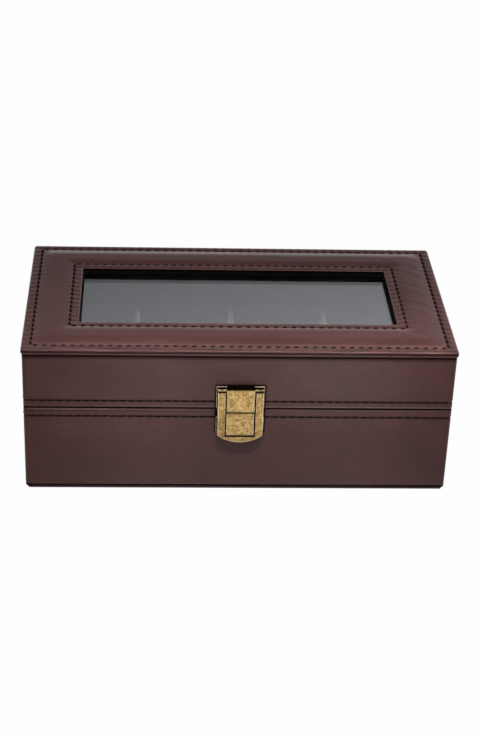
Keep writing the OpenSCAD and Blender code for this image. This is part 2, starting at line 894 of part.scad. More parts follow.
module hinge_lid_screws() {
    z0 = lid_board_z0 - leaf_t;
    color(brass_colour)
        for (s = [-1, 1]) {
            screw_rods(screw_r, s * hinge_x, z0, lid_board_z0 + screw_len);
            screw_rods(screw_head_r, s * hinge_x, z0, z0 + screw_head_t);
        }
}

underside_panel();
base_bottom_board();
base_front_board();
base_back_board();
base_left_board();
base_right_board();
base_wrap();
floor_lining();
base_lining_long(-1);  // base_lining_front
base_lining_long(1);  // base_lining_back
base_lining_end(-1);  // base_lining_left
base_lining_end(1);  // base_lining_right
divider(-1);  // divider_left
divider(0);  // divider_middle
divider(1);  // divider_right
pillow(1);  // pillow_1
pillow(2);  // pillow_2
pillow(3);  // pillow_3
pillow(4);  // pillow_4
clasp_catch();
catch_spring();
rivets(base_rivet_z);  // clasp_base_rivets
hinge_base_leaf(-hinge_x);  // hinge_left_base_leaf
hinge_base_leaf(hinge_x);  // hinge_right_base_leaf
hinge_pin(-hinge_x);  // hinge_left_pin
hinge_pin(hinge_x);  // hinge_right_pin
hinge_base_screws();
lid_front_board();
lid_back_board();
lid_left_board();
lid_right_board();
lid_wrap();
lid_top_board();
top_foam();
top_cover();
window_seal();
window_pane();
pane_retainer();
lid_ceiling_lining();
lid_lining_long(-1);  // lid_lining_front
lid_lining_long(1);  // lid_lining_back
lid_lining_end(-1);  // lid_lining_left
lid_lining_end(1);  // lid_lining_right
clasp_hinge_plate();
clasp_pin();
rivets(lid_rivet_z);  // clasp_lid_rivets
hinge_lid_leaf(-hinge_x);  // hinge_left_lid_leaf
hinge_lid_leaf(hinge_x);  // hinge_right_lid_leaf
hinge_lid_screws();
clasp_flap();
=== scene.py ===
"""Watch valet: the looks of a leatherette box with a stitched, padded window lid and a brass hasp.

Metres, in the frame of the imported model.
The origin is the middle of the underside, +X is right and +Y is the back.
"""
import math

import bmesh
import bpy
import numpy as np
from mathutils import Matrix, Vector


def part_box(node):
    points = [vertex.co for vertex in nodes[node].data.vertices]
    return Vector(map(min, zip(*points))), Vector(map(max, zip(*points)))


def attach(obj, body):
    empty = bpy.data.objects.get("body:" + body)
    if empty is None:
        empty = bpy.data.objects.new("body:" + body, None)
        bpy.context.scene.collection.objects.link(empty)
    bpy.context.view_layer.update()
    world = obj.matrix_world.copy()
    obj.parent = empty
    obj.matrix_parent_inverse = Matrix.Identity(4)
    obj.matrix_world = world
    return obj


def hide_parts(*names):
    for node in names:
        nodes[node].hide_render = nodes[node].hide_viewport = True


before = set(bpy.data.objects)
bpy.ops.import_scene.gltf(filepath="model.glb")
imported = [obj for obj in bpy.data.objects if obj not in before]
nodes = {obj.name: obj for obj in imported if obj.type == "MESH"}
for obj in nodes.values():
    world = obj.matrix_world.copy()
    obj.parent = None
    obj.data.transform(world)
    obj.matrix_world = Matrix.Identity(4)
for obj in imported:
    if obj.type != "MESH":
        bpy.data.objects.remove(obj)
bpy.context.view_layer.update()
MM = 0.001

# Sizes from the frame
base_lo, base_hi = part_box("base_wrap")
lid_lo, lid_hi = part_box("lid_wrap")
top_lo, top_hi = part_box("top_cover")
board_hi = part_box("lid_top_board")[1]
seal_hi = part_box("window_seal")[1]
leaf_lo, leaf_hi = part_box("hinge_right_base_leaf")
WRAP_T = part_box("base_front_board")[0].y - base_lo.y
RIM_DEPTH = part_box("base_lining_front")[0].y - base_lo.y
COVER_T = top_hi.x - board_hi.x
MARGIN_Z = board_hi.z + COVER_T
PAD_RISE = top_hi.z - MARGIN_Z
LEAF_DEPTH = base_hi.y - leaf_lo.y
RIM_GAP = lid_lo.z - base_hi.z
BODY_HALF = np.array(base_hi.xy)
TOP_HALF = np.array(top_hi.xy)
WINDOW_HALF = np.array(seal_hi.xy)

# Sizes of the finish, which the frame doesn't give
CORNER_R = 2.0 * MM
RIM_R = 0.5 * MM
LIP_R = 0.3 * MM
BOTTOM_EDGE_R = 0.6 * MM
LID_TOP_EDGE_R = 0.5 * MM
TOP_CORNER_R = 1.8 * MM
WINDOW_R = 1.0 * MM
COVER_EDGE_R = 0.8 * MM
WINDOW_EDGE_R = 0.5 * MM
COVER_UNDER_R = 0.55 * MM
HEM_UP = 1.25 * MM
HEM_HALF_W = 0.36 * MM
HEM_DEPTH = 0.4 * MM
HEM_LIP = 0.04 * MM
FOOT_LINE_H = 0.35 * MM
FOOT_LINE_END = 0.4 * MM
LEAST_R = 0.1 * MM
STITCH_IN = 4.7 * MM
LID_SEAM_UP = 3.7 * MM
BASE_SEAM_DOWN = 4.7 * MM
STITCH_PITCH = 4.5 * MM
TOP_STITCH_LEN = 2.7 * MM
SIDE_STITCH_LEN = 3.9 * MM
TOP_THREAD_R = 0.56 * MM
SIDE_THREAD_R = 0.38 * MM
BACK_ROW_SINK = 0.3 * MM
END_STRETCH = 1.3
TOP_SLANT = math.radians(10)
LID_SLANT = math.radians(-7)
BASE_SLANT = math.radians(5)
SEAM_DIP = 0.24 * MM
SEAM_HALF_W = 0.75 * MM
SEAM_PUCKER = 0.035 * MM
PUCKER_REACH = 2.4 * MM
FOLD_REACH = 2.2 * MM
COLUMN_STEP = 0.75 * MM
TINY = 0.01 * MM
ARC_STEPS = 6


# Meshes

def add_object(name, mesh, body, slot, *materials):
    """A new piece of the object that rides on a body."""
    piece = bpy.data.objects.new(name, mesh)
    bpy.context.scene.collection.objects.link(piece)
    for material in materials:
        mesh.materials.append(material)
    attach(piece, body)
    return piece


def smooth_mesh(name, points, faces):
    """A smooth-shaded mesh with its normals outwards."""
    mesh = bpy.data.meshes.new(name)
    mesh.from_pydata([tuple(p) for p in points], [], faces)
    work = bmesh.new()
    work.from_mesh(mesh)
    bmesh.ops.recalc_face_normals(work, faces=work.faces)
    work.to_mesh(mesh)
    work.free()
    mesh.shade_smooth()
    return mesh


def set_attribute(mesh, name, values):
    """One number per point, for a material to read."""
    layer = mesh.attributes.new(name, "FLOAT", "POINT")
    layer.data.foreach_set("value", np.asarray(values, np.float32))


def closed_grid(name, rows):
    """A mesh from rings of points that close round the box, where the last ring also joins the first."""
    count = len(rows[0])
    faces = []
    for i in range(len(rows)):
        a, b = i * count, (i + 1) % len(rows) * count
        for k in range(count):
            e = (k + 1) % count
            faces.append((a + k, a + e, b + e, b + k))
    return smooth_mesh(name, np.vstack(rows), faces)


# Each side of the box, anticlockwise from the front: the direction along it and the direction out of it
SIDES = [
    np.array(side, float)
    for side in (((1, 0), (0, -1)), ((0, 1), (1, 0)), ((-1, 0), (0, 1)), ((0, -1), (-1, 0)))
]
FRONT, BACK = 0, 2


def outline(half, r, along):
    """Points round a rectangle with round corners.

    Gives their places, their outward directions, their sides and their distances along the sides.
    """
    places, outs, sides, runs = [], [], [], []
    for i, (u, n) in enumerate(SIDES):
        face = abs(half @ n)
        end = abs(half @ u) - r
        t = along(i, end)
        places.append(face * n + t[:, None] * u)
        outs.append(np.tile(n, (len(t), 1)))
        a = np.linspace(0, math.pi / 2, ARC_STEPS + 1)[1:-1, None]
        turn = n * np.cos(a) + u * np.sin(a)
        places.append((face - r) * n + end * u + r * turn)
        outs.append(turn)
        sides.append(np.full(len(t) + len(a), i))
        runs.append(np.concatenate([t, end + r * a[:, 0]]))
    return np.vstack(places), np.vstack(outs), np.concatenate(sides), np.concatenate(runs)


def seeded_waves(t, seed, shortest, longest):
    """A smooth wandering value between about -1 and 1, the same on each run."""
    count = 7
    rng = np.random.default_rng(seed)
    lengths = rng.uniform(shortest, longest, count)
    phases = rng.uniform(0, 2 * math.pi, count)
    weights = rng.uniform(0.5, 1, count)
    waves = zip(lengths, phases, weights)
    total = sum(weight * np.sin(2 * math.pi * t / length + phase) for length, phase, weight in waves)
    to_full_height = 1.6
    return total / weights.sum() * to_full_height


def run_pitch(length):
    """The pitch of a row of stitches that fills a run with an odd number of them."""
    count = 2 * round((length / STITCH_PITCH - 1) / 2) + 1
    return length / count


# Side skins

# Painted shade along the side seam and over the base's foot, and painted highlights on the foot line and
# along each rim
SEAM_SHADE = 0.75
SEAM_SHADE_W = 0.45 * MM
FOOT_SHADE = 0.85
FOOT_LINE_HIGHLIGHT = 0.22
RIM_LINE_IN = 0.6 * MM
RIM_LINE_W = 0.28 * MM


def skin_pitch(side):
    """The stitch pitch along one side of the box."""
    return run_pitch(2 * BODY_HALF[side % 2] - 2 * CORNER_R)


def skin_columns(side, end):
    """Distances along a side of the box.

    They go in even steps, doubled at the edges of the hinges, and then over the last stretch to the corner.
    """
    plain_end = BODY_HALF[side % 2] - RIM_DEPTH - LEAST_R
    steps = int(round(2 * plain_end / COLUMN_STEP))
    t = np.linspace(-plain_end, plain_end, steps + 1)
    marks = [sign * (x + d) for sign in (-1, 1) for x in (leaf_lo.x, leaf_hi.x) for d in (-TINY, TINY)]
    if side in (FRONT, BACK):
        t = np.sort(np.concatenate([t, marks]))
    stretch = np.linspace(plain_end, end, 4)[1:]
    return np.concatenate([-stretch[::-1], t, stretch])


def seam_relief(side, t, h):
    """How far a sewn side skin stands out, or in where it is below 0.

    It goes by the distance along the skin and the height off its seam.
    """
    pitch = np.where(side % 2 == 0, skin_pitch(0), skin_pitch(1))
    beat = np.cos(2 * math.pi * t / pitch)
    valley = np.exp(-(h / SEAM_HALF_W) ** 2) * (0.7 + 0.3 * beat)
    uneven = 1 + 0.5 * seeded_waves(t + 0.3 * side, seed=3, shortest=0.02, longest=0.09)
    pucker = np.exp(-(h / PUCKER_REACH) ** 2) * beat * uneven
    return -SEAM_DIP * 0.8 * valley + SEAM_PUCKER * pucker


def hem_section():
    """The groove between the base's skin and its underside, as [inset, height] from the foot."""
    low, high = HEM_UP - HEM_HALF_W, HEM_UP + HEM_HALF_W
    above_line = 0.6 * MM
    return [
        (0.0, low - HEM_LIP), (0.0, low), (HEM_DEPTH, low), (HEM_DEPTH, high),
        (0.0, high), (0.0, high + HEM_LIP), (0.0, high + FOOT_LINE_H), (0.0, high + above_line),
    ]


def skin_profile(height, seam, far_r, reach):
    """A skin's section as [inset, height], from its far edge over its seam and rim to the inside of the rim.

    The inner part of the rim stands out by the reach, and a skin without a reach has a hem at its far edge.
    """
    quarter = np.linspace(0, math.pi / 2, 5)
    fine_from = seam - 3 * MM
    section = [(WRAP_T, 0.0)]
    section += [(far_r * (1 - math.sin(a)), far_r * (1 - math.cos(a))) for a in quarter]
    if not reach:
        section += hem_section()
    face = np.linspace(section[-1][1], fine_from, 10)[1:]
    fine = np.linspace(fine_from, height - RIM_R, 27)[1:-1]
    section += [(0.0, h) for h in np.concatenate([face, fine])]
    section += [(RIM_R * (1 - math.cos(a)), height - RIM_R * (1 - math.sin(a))) for a in quarter]
    section += [(RIM_DEPTH / 2, height), (LEAF_DEPTH, height), (LEAF_DEPTH + TINY, height + reach)]
    lip = height + reach
    section += [(RIM_DEPTH - LIP_R * (1 - math.sin(a)), lip - LIP_R * (1 - math.cos(a))) for a in quarter]
    section += [(RIM_DEPTH, height - WRAP_T), (WRAP_T, height - WRAP_T)]
    return section


def rim_highlight(up, side, t):
    """How strong the painted highlight along a rim is: the lid's front towards its right, and the base's
    front at its left end.
    """
    if up:
        at_left = (side == FRONT) & (t < -65 * MM)
        return np.where(at_left, 0.6, 0.1)
    to_right = np.interp(t, (-75 * MM, -20 * MM), (0.2, 0.8))
    return np.where(side == FRONT, to_right, 0.2)


def rim_crease_shade(side, t, h):
    """The painted shade of a crease under the base's rim, for a height off the rim.

    On the front it fades out towards the right.
    """
    below, half_w, least = 1.7 * MM, 0.3 * MM, 0.15
    depth = np.interp(t, (-65 * MM, 20 * MM), (0.6, least))
    return np.where(side == FRONT, depth, least) * math.exp(-((h + below) / half_w) ** 2)


def side_skin(node, body, low, high, up, seam_from_rim, far_r, material):
    """The leatherette round one half of the box, cut for the hinges' leaves.

    Its rim is towards the other half, and is its upper edge where up is true.
    """
    height = high - low
    seam = height - seam_from_rim
    rows, painted_shades, edges = [], [], []
    for inset, h in skin_profile(height, seam, far_r, 0.0 if up else 0.95 * RIM_GAP):
        place, out, side, t = outline(BODY_HALF - inset, max(CORNER_R - inset, LEAST_R), skin_columns)
        sewn = np.full(len(t), inset < TINY)
        push = np.where(sewn, seam_relief(side, t, h - seam), 0.0)
        level = np.full(len(t), h)
        if inset <= LEAF_DEPTH:
            in_leaf = (side == BACK) & (np.abs(t) > leaf_lo.x) & (np.abs(t) < leaf_hi.x)
            level[in_leaf] = min(h, height - WRAP_T)
        z = low + level if up else high - level
        rows.append(np.column_stack([place + out * push[:, None], z]))
        # Painted shadow, black: on the lid's edge under the top's overhang, on the rim's rounded edge and
        # inner lip where the halves meet, and in the hem's groove
        tucked = not up and h < 1.5 * far_r
        groove = height - h < 0.6 * RIM_R and inset < 1.1 * RIM_R or inset > RIM_DEPTH - 1.1 * LIP_R
        hem = up and inset == HEM_DEPTH
        # Painted shade along the seam, in a crease under the base's rim and over the base's foot
        dark = sewn * SEAM_SHADE * np.exp(-((h - seam) / SEAM_SHADE_W) ** 2)
        if up:
            dark = np.maximum(dark, rim_crease_shade(side, t, h - height))
            dark = np.maximum(dark, FOOT_SHADE * (h < HEM_UP))
        painted_shades.append(np.where(tucked or groove or hem, 1.0, dark))
        # Painted highlights: a line along each rim and the foot line above the hem
        rim = math.exp(-((h - height + RIM_LINE_IN) / RIM_LINE_W) ** 2) * (inset < RIM_R)
        foot_line = up and inset == 0 and 0 < h - HEM_UP - HEM_HALF_W < FOOT_LINE_END
        edges.append(rim * rim_highlight(up, side, t) + FOOT_LINE_HIGHLIGHT * foot_line)
    mesh = closed_grid(node, rows)
    # The seam attribute holds painted shade, and the edge attribute painted highlights
    set_attribute(mesh, "seam", np.concatenate(painted_shades))
    set_attribute(mesh, "edge", np.concatenate(edges))
    skin = add_object(node + "_skin", mesh, body, "leatherette", material)
    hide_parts(node)


# Padded top

FRAME = TOP_HALF - WINDOW_HALF
OUTER_ROW = TOP_HALF - STITCH_IN
INNER_ROW = WINDOW_HALF + STITCH_IN
PAD_SHOULDER = 9.3 * MM
INNER_SHOULDER = 6.0 * MM
PAD_FOOT = 0.35 * MM
PAD_SHARE = 0.93
INNER_ROW_LIFT = 0.45
WINDOW_LIFT = 0.36
CREASE_LEFT = 0.004
CREASE_RIGHT = 0.05
CREASE_SLANT = 0.5
# Painted shade round the stitches' holes and on the cover's side faces, and painted highlights beside the
# stitches and along the front of the pad
HOLE_SHADE = 0.85
HOLE_SHADE_W = 0.62 * MM
ROW_SHADE = 0.1
END_ROW_SHADE = 0.7
HIGHLIGHT_IN = 0.5 * MM
HIGHLIGHT_W = 0.6 * MM
FRONT_HIGHLIGHT_IN = 1.4 * MM
FRONT_HIGHLIGHT_W = 0.8 * MM
SIDE_FACE_SHADE = 0.62


def plump(d, shoulder=PAD_SHOULDER):
    """The share of a pad's rise at a distance from its seam."""
    share = np.clip(d / shoulder, 0, 1)
    return 1 - (1 - share) ** 2


def from_outer_row(x, y):
    """Distances inwards from the outer stitch row, in X and in Y."""
    return OUTER_ROW[0] - np.abs(x), OUTER_ROW[1] - np.abs(y)


def from_inner_row(x, y):
    """Distance outwards from the inner stitch row."""
    ax, ay = np.abs(x) - INNER_ROW[0], np.abs(y) - INNER_ROW[1]
    return np.where((ax > 0) & (ay > 0), np.hypot(ax, ay), np.maximum(ax, ay))


def row_beat(half, x, y, beside):
    """The rhythm of a rectangle's stitches at a point: 1 at a stitch and -1 between two."""
    long_pitch, short_pitch = run_pitch(2 * half[0]), run_pitch(2 * half[1])
    return np.where(beside, np.cos(2 * math.pi * y / short_pitch), np.cos(2 * math.pi * x / long_pitch))


def foot(d):
    """A distance from a seam that grows slowly at first, so that the pad's foot lies flat beside it."""
    return np.hypot(np.maximum(d, 0), PAD_FOOT) - PAD_FOOT


def near_rows(x, y):
    """Distances from the two stitch rows towards the pad, and the rhythms of their stitches."""
    out_x, out_y = from_outer_row(x, y)
    outer, inner = np.minimum(out_x, out_y), from_inner_row(x, y)
    beside_inner = np.abs(x) - INNER_ROW[0] > np.abs(y) - INNER_ROW[1]
    return outer, inner, row_beat(OUTER_ROW, x, y, out_x < out_y), row_beat(INNER_ROW, x, y, beside_inner)


def gathers(d, beat, rib, pucker, dome):
    """Heights of the leather's form and of its folds beside a stitch row.

    The distance from the row counts towards the pad.
    """
    margin = np.where(d < 0, np.sin(np.clip(-d / STITCH_IN, 0, 1) * math.pi), 0)
    seam = np.exp(-(d / SEAM_HALF_W) ** 2)
    folds = np.where(d > 0, np.exp(-d / FOLD_REACH), 0) * (1 - seam)
    dip = SEAM_DIP * seam * (0.4 + 0.35 * beat)
    return MM * dome * margin - dip, MM * beat * (rib * margin + pucker * folds)


def top_relief(x, y):
    """Height of the padded cover over its margins."""
    out_x, out_y = from_outer_row(x, y)
    outer, inner, outer_beat, inner_beat = near_rows(x, y)
    to_window = INNER_ROW_LIFT + (INNER_ROW_LIFT - WINDOW_LIFT) * inner / STITCH_IN
    to_pad = INNER_ROW_LIFT + (1 - INNER_ROW_LIFT) * plump(inner, INNER_SHOULDER)
    pad = plump(foot(out_x)) * plump(foot(out_y)) * np.where(inner > 0, to_pad, to_window)
    outer_form, outer_folds = gathers(outer, outer_beat, rib=0.08, pucker=0.06, dome=0.30)
    inner_form, inner_folds = gathers(inner, inner_beat, rib=0.09, pucker=0.06, dome=0.22)
    uneven = 1 + 0.9 * seeded_waves(x + 1.7 * y, seed=11, shortest=0.012, longest=0.06)
    slant = y * math.cos(CREASE_SLANT) + x * math.sin(CREASE_SLANT)
    beside_window = np.abs(x) > WINDOW_HALF[0]
    creases = pad * np.where(x > 0, CREASE_RIGHT, CREASE_LEFT) * beside_window
    creases = creases * seeded_waves(slant, seed=5, shortest=0.004, longest=0.011)
    sway = 0.06 * pad * seeded_waves(0.8 * x - y, seed=8, shortest=0.03, longest=0.09)
    folds = (outer_folds + inner_folds) * uneven
    return PAD_RISE * PAD_SHARE * pad + outer_form + inner_form + folds + MM * (creases + sway)


def hole_shade(x, y):
    """The painted shade round the stitches' holes.

    In the rows at the ends there is less light between the holes.
    """
    outer, inner, outer_beat, inner_beat = near_rows(x, y)
    _, out_y = from_outer_row(x, y)
    at_ends = (np.abs(x) > INNER_ROW[0] - 2 * MM) & (out_y > 2 * MM)
    least = np.where(at_ends, END_ROW_SHADE, ROW_SHADE)
    outer_holes = np.clip(least + (1 - least) * outer_beat, 0.6 * least, 1)
    inner_holes = np.clip(least + (1 - least) * inner_beat, 0.6 * least, 1)
    at_outer = np.exp(-(outer / HOLE_SHADE_W) ** 2) * outer_holes
    at_inner = np.exp(-(inner / HOLE_SHADE_W) ** 2) * inner_holes
    return HOLE_SHADE * np.maximum(at_outer, at_inner)


def stitch_highlights(x, y):
    """The painted highlights where the leather bulges between two stitches, and along the front of the pad.
    """
    outer, inner, outer_beat, inner_beat = near_rows(x, y)
    at_outer = np.exp(-((outer - HIGHLIGHT_IN) / HIGHLIGHT_W) ** 2) * np.clip(-outer_beat, 0, 1)
    at_inner = np.exp(-((inner - HIGHLIGHT_IN) / HIGHLIGHT_W) ** 2) * np.clip(-inner_beat, 0, 1)
    front = np.exp(-((OUTER_ROW[1] + y - FRONT_HIGHLIGHT_IN) / FRONT_HIGHLIGHT_W) ** 2) * (np.abs(x) < OUTER_ROW[0])
    return 0.3 * at_outer + 0.25 * at_inner + 0.3 * front


def cover_section():
    """The cover's section as (share, offset, height, drop).

    The share is 0 at the top's edge and 1 at the window's, and the offset runs inwards from there.
    A height of None lies below the padded surface by the drop.
    """
    quarter = np.linspace(0, math.pi / 2, 6)
    reach = STITCH_IN + 1.2 * MM
    under, over, lip = COVER_UNDER_R, COVER_EDGE_R, WINDOW_EDGE_R
    section = [(0, under * (1 - math.sin(a)), top_lo.z + under * (1 - math.cos(a)), 0) for a in quarter]
    section += [(0, 0, top_lo.z + under + rise, 0) for rise in (0.25 * MM, 0.4 * MM)]
    section += [(0, over * (1 - math.cos(a)), None, over * (1 - math.sin(a))) for a in quarter[:-1]]
    section += [(0, d, None, 0) for d in np.linspace(over, reach, 24)]
    section += [(k, (1 - 2 * k) * reach, None, 0) for k in np.linspace(0, 1, 33)[1:-1]]
    section += [(1, -d, None, 0) for d in np.linspace(reach, lip, 24)]
    section += [(1, -lip * (1 - math.cos(a)), None, lip * (1 - math.sin(a))) for a in quarter[-2::-1]]
    section += [(1, 0, top_lo.z, 0), (1, -COVER_T, top_lo.z, 0), (1, -COVER_T, board_hi.z, 0)]
    section += [(0, COVER_T, board_hi.z, 0), (0, COVER_T, top_lo.z, 0)]
    return section


def cover_columns(side, end):
    """Distances along a side of the top, in even shares of it."""
    steps = int(round(2 * TOP_HALF[side % 2] / COLUMN_STEP))
    return end * np.linspace(-1, 1, steps + 1)


def padded_top(material):
    """The stitched cover over its foam, as one closed ring round the window."""
    rows, painted_shades, edges = [], [], []
    for share, offset, z, drop in cover_section():
        half = TOP_HALF - share * FRAME - offset
        r = (1 - share) * TOP_CORNER_R + share * WINDOW_R - offset
        place, _, _, _ = outline(half, min(max(r, LEAST_R), WINDOW_R + COVER_T), cover_columns)
        x, y = place.T
        level = np.full(len(x), z) if z is not None else MARGIN_Z + top_relief(x, y) - drop
        rows.append(np.column_stack([x, y, level]))
        wall = share == 1 and (z is not None or drop > 0.3 * WINDOW_EDGE_R)
        outside = share == 0 and offset < 0.1 * MM
        lower_edge = outside and z is not None and z - top_lo.z < COVER_UNDER_R + 0.3 * MM
        side_face = outside and (drop > 0 or z is not None) and not lower_edge
        # Painted shade: black on the window's wall, darker on the cover's side faces, and round the stitches'
        # holes
        if wall:
            painted_shades.append(np.ones(len(x)))
        elif side_face:
            painted_shades.append(np.full(len(x), SIDE_FACE_SHADE))
        else:
            painted_shades.append(hole_shade(x, y) * (z is None))
        # Painted highlights on the cover's lower and upper edges, on the window's edge, and beside the
        # stitches
        upper_edge = share == 0 and 0.1 * COVER_EDGE_R < drop < 0.3 * COVER_EDGE_R
        window_edge = share == 1 and z is None and offset >= -WINDOW_EDGE_R and drop < 0.1 * WINDOW_EDGE_R
        painted_highlight = 0.45 * lower_edge + 0.65 * upper_edge + 0.45 * window_edge
        edges.append(np.full(len(x), painted_highlight) + (z is None and drop == 0) * stitch_highlights(x, y))
    mesh = closed_grid("padded_top", rows)
    # The seam attribute holds painted shade, and the edge attribute painted highlights
    set_attribute(mesh, "seam", np.concatenate(painted_shades))
    set_attribute(mesh, "edge", np.concatenate(edges))
    cover = add_object("padded_top", mesh, "lid", "leatherette", material)
    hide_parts("top_cover", "top_foam")


# Stitches

def stitch_shape(length, radius):
    """One stitch: a two-ply thread that rises out of the leather and goes back in, as points and faces.

    The points are distances along the row, across it and out of the leather.
    """
    rings, ring_sides = 11, 10
    t = np.linspace(-1, 1, rings)[:, None]
    a = np.linspace(0, 2 * math.pi, ring_sides, endpoint=False)[None, :]
    taper = np.sqrt(1 - 0.8 * t ** 6)
    plies = 1 + 0.16 * np.cos(2 * a + 5 * t)
    r = radius * taper * plies
    along = length / 2 * t + 0 * a
    flat, rise, dive = 0.7, 0.55, 1.1
    out = flat * r * np.sin(a) + rise * radius - dive * radius * t ** 4
    points = np.stack([along, r * np.cos(a), out], axis=2).reshape(-1, 3)
    faces = [
        (i * ring_sides + k, i * ring_sides + (k + 1) % ring_sides,
         (i + 1) * ring_sides + (k + 1) % ring_sides, (i + 1) * ring_sides + k)
        for i in range(rings - 1) for k in range(ring_sides)
    ]
    faces += [tuple(range(ring_sides)), tuple(range((rings - 1) * ring_sides, rings * ring_sides))]
    return points, faces


def thread_row(name, body, runs, stitch, slant, material):
    """A row of one kind of stitch.

    A run is its stitches' places, the direction along it, the direction out and its stitches' stretch.
    """
    shape, shape_faces = stitch
    points, faces = [], []
    for places, along, out, stretch in runs:
        across = np.cross(out, along)
        lean = along * math.cos(slant) + across * math.sin(slant)
        axes = np.array([stretch * lean, np.cross(out, lean), out])
        for place in places:
            faces += [tuple(k + len(points) * len(shape) for k in f) for f in shape_faces]
            points.append(place + shape @ axes)
    mesh = smooth_mesh(name, np.vstack(points), faces)
    add_object(name, mesh, body, "leatherette", material)


def run_places(length):
    """Distances of a run's stitches from its middle."""
    pitch = run_pitch(length)
    count = round(length / pitch)
    return (np.arange(count) - (count - 1) / 2) * pitch


def top_row(name, half, material):
    """The stitches round a rectangle on the padded top, drawn deeper along its back."""
    runs = []
    for i, (u, n) in enumerate(SIDES):
        t = run_places(2 * abs(half @ u))
        flat = abs(half @ n) * n + t[:, None] * u
        z = MARGIN_Z + top_relief(*flat.T) - (i == BACK) * BACK_ROW_SINK
        stretch = 1.0 if i in (FRONT, BACK) else END_STRETCH
        runs.append((np.column_stack([flat, z]), np.append(u, 0), np.array([0, 0, 1.0]), stretch))
    thread_row(name, "lid", runs, stitch_shape(TOP_STITCH_LEN, TOP_THREAD_R), TOP_SLANT, material)


def side_row(name, body, z, slant, material):
    """The stitches round the sides of the box at a height."""
    runs = []
    for i, (u, n) in enumerate(SIDES):
        t = run_places(2 * BODY_HALF[i % 2] - 2 * CORNER_R)
        face = abs(BODY_HALF @ n) + seam_relief(np.full(len(t), i), t, 0.0)
        flat = face[:, None] * n + t[:, None] * u
        runs.append((np.column_stack([flat, np.full(len(t), z)]), np.append(u, 0), np.append(n, 0), 1.0))
    thread_row(name, body, runs, stitch_shape(SIDE_STITCH_LEN, SIDE_THREAD_R), slant, material)


# Metal

RECESS = 1.5 * MM
SHORT_EDGE = 0.8 * MM
SHARP_ANGLE = math.radians(35)
LOOKS_FORWARDS = -0.9
LOOKS_ASIDE = -0.3
LOOKS_UP = 0.5
SIDE_FACE = 0.55


def edge_wear_and_highlight(edge, middle):
    """How far a metal edge is rounded, as wear with a painted highlight: the long outer ones round a face
    that looks forwards.

    Those that look towards the middle get half as much.
    """
    sides = sorted(edge.link_faces, key=lambda face: face.normal.y)
    if len(sides) != 2 or sides[0].normal.y > LOOKS_FORWARDS or sides[1].normal.y < LOOKS_ASIDE:
        return 0.0
    deep = sides[0].calc_center_median().y > base_lo.y - RECESS
    if not edge.is_convex or edge.calc_length() < SHORT_EDGE or sides[1].normal.z > LOOKS_UP and not deep:
        return 0.0
    inwards = sides[1].normal.x * (edge.verts[0].co.x - middle) < -1e-6
    return 0.5 if inwards else 1.0


def spread_highlights_and_shade(mesh):
    """Spreads three materials over a clasp piece.

    Most chamfers take the second material, wear with a painted highlight, and sides and faces that lie deep
    behind the front take the third, a painted shade.
    """
    for face in mesh.polygons:
        chamfer = -0.85 < face.normal.y < -SIDE_FACE
        highlit = face.normal.z < LOOKS_UP or face.area < MM * MM
        deep = face.normal.y < 0 and face.center.y > base_lo.y - RECESS
        dark = abs(face.normal.y) < SIDE_FACE or deep
        face.material_index = int(highlit) if chamfer else 2 * dark


def worn_highlit_copy(node, body, width, *materials):
    """A CAD piece of metal with rounded edges, which take the second material, wear with a painted highlight.

    A third material, a painted shade, is for its sides and recesses, and only such a piece has its edges
    rounded unevenly.
    """
    work = bmesh.new()
    work.from_mesh(nodes[node].data)
    bmesh.ops.remove_doubles(work, verts=work.verts, dist=1e-6)
    bmesh.ops.dissolve_limit(work, angle_limit=math.radians(1), verts=work.verts, edges=work.edges)
    work.normal_update()
    middle = sum(v.co.x for v in work.verts) / len(work.verts)
    weights = [edge_wear_and_highlight(edge, middle) for edge in work.edges]
    mesh = bpy.data.meshes.new(node)
    work.to_mesh(mesh)
    work.free()
    mesh.shade_smooth()
    mesh.set_sharp_from_angle(angle=SHARP_ANGLE)
    piece = add_object(node + "_worn_highlit", mesh, body, "antique_brass", *materials)
    bevel = piece.modifiers.new("edges", "BEVEL")
    bevel.width = width
    bevel.segments = 2
    bevel.harden_normals = True
    bevel.material = 1
    bevel.limit_method = "ANGLE"
    bevel.angle_limit = SHARP_ANGLE
    if len(materials) == 3:
        spread_highlights_and_shade(mesh)
        mesh.attributes.new("bevel_weight_edge", "FLOAT", "EDGE").data.foreach_set("value", weights)
        bevel.limit_method = "WEIGHT"
        bevel.use_clamp_overlap = False
    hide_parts(node)


# Pillows

PILLOW_START = (0.95, 0.965, 0.93, 1)
PILLOW_VOXEL = 2.4 * MM
CLOTH_FRAMES = 20
MOST_SWELL = 2.2 * MM


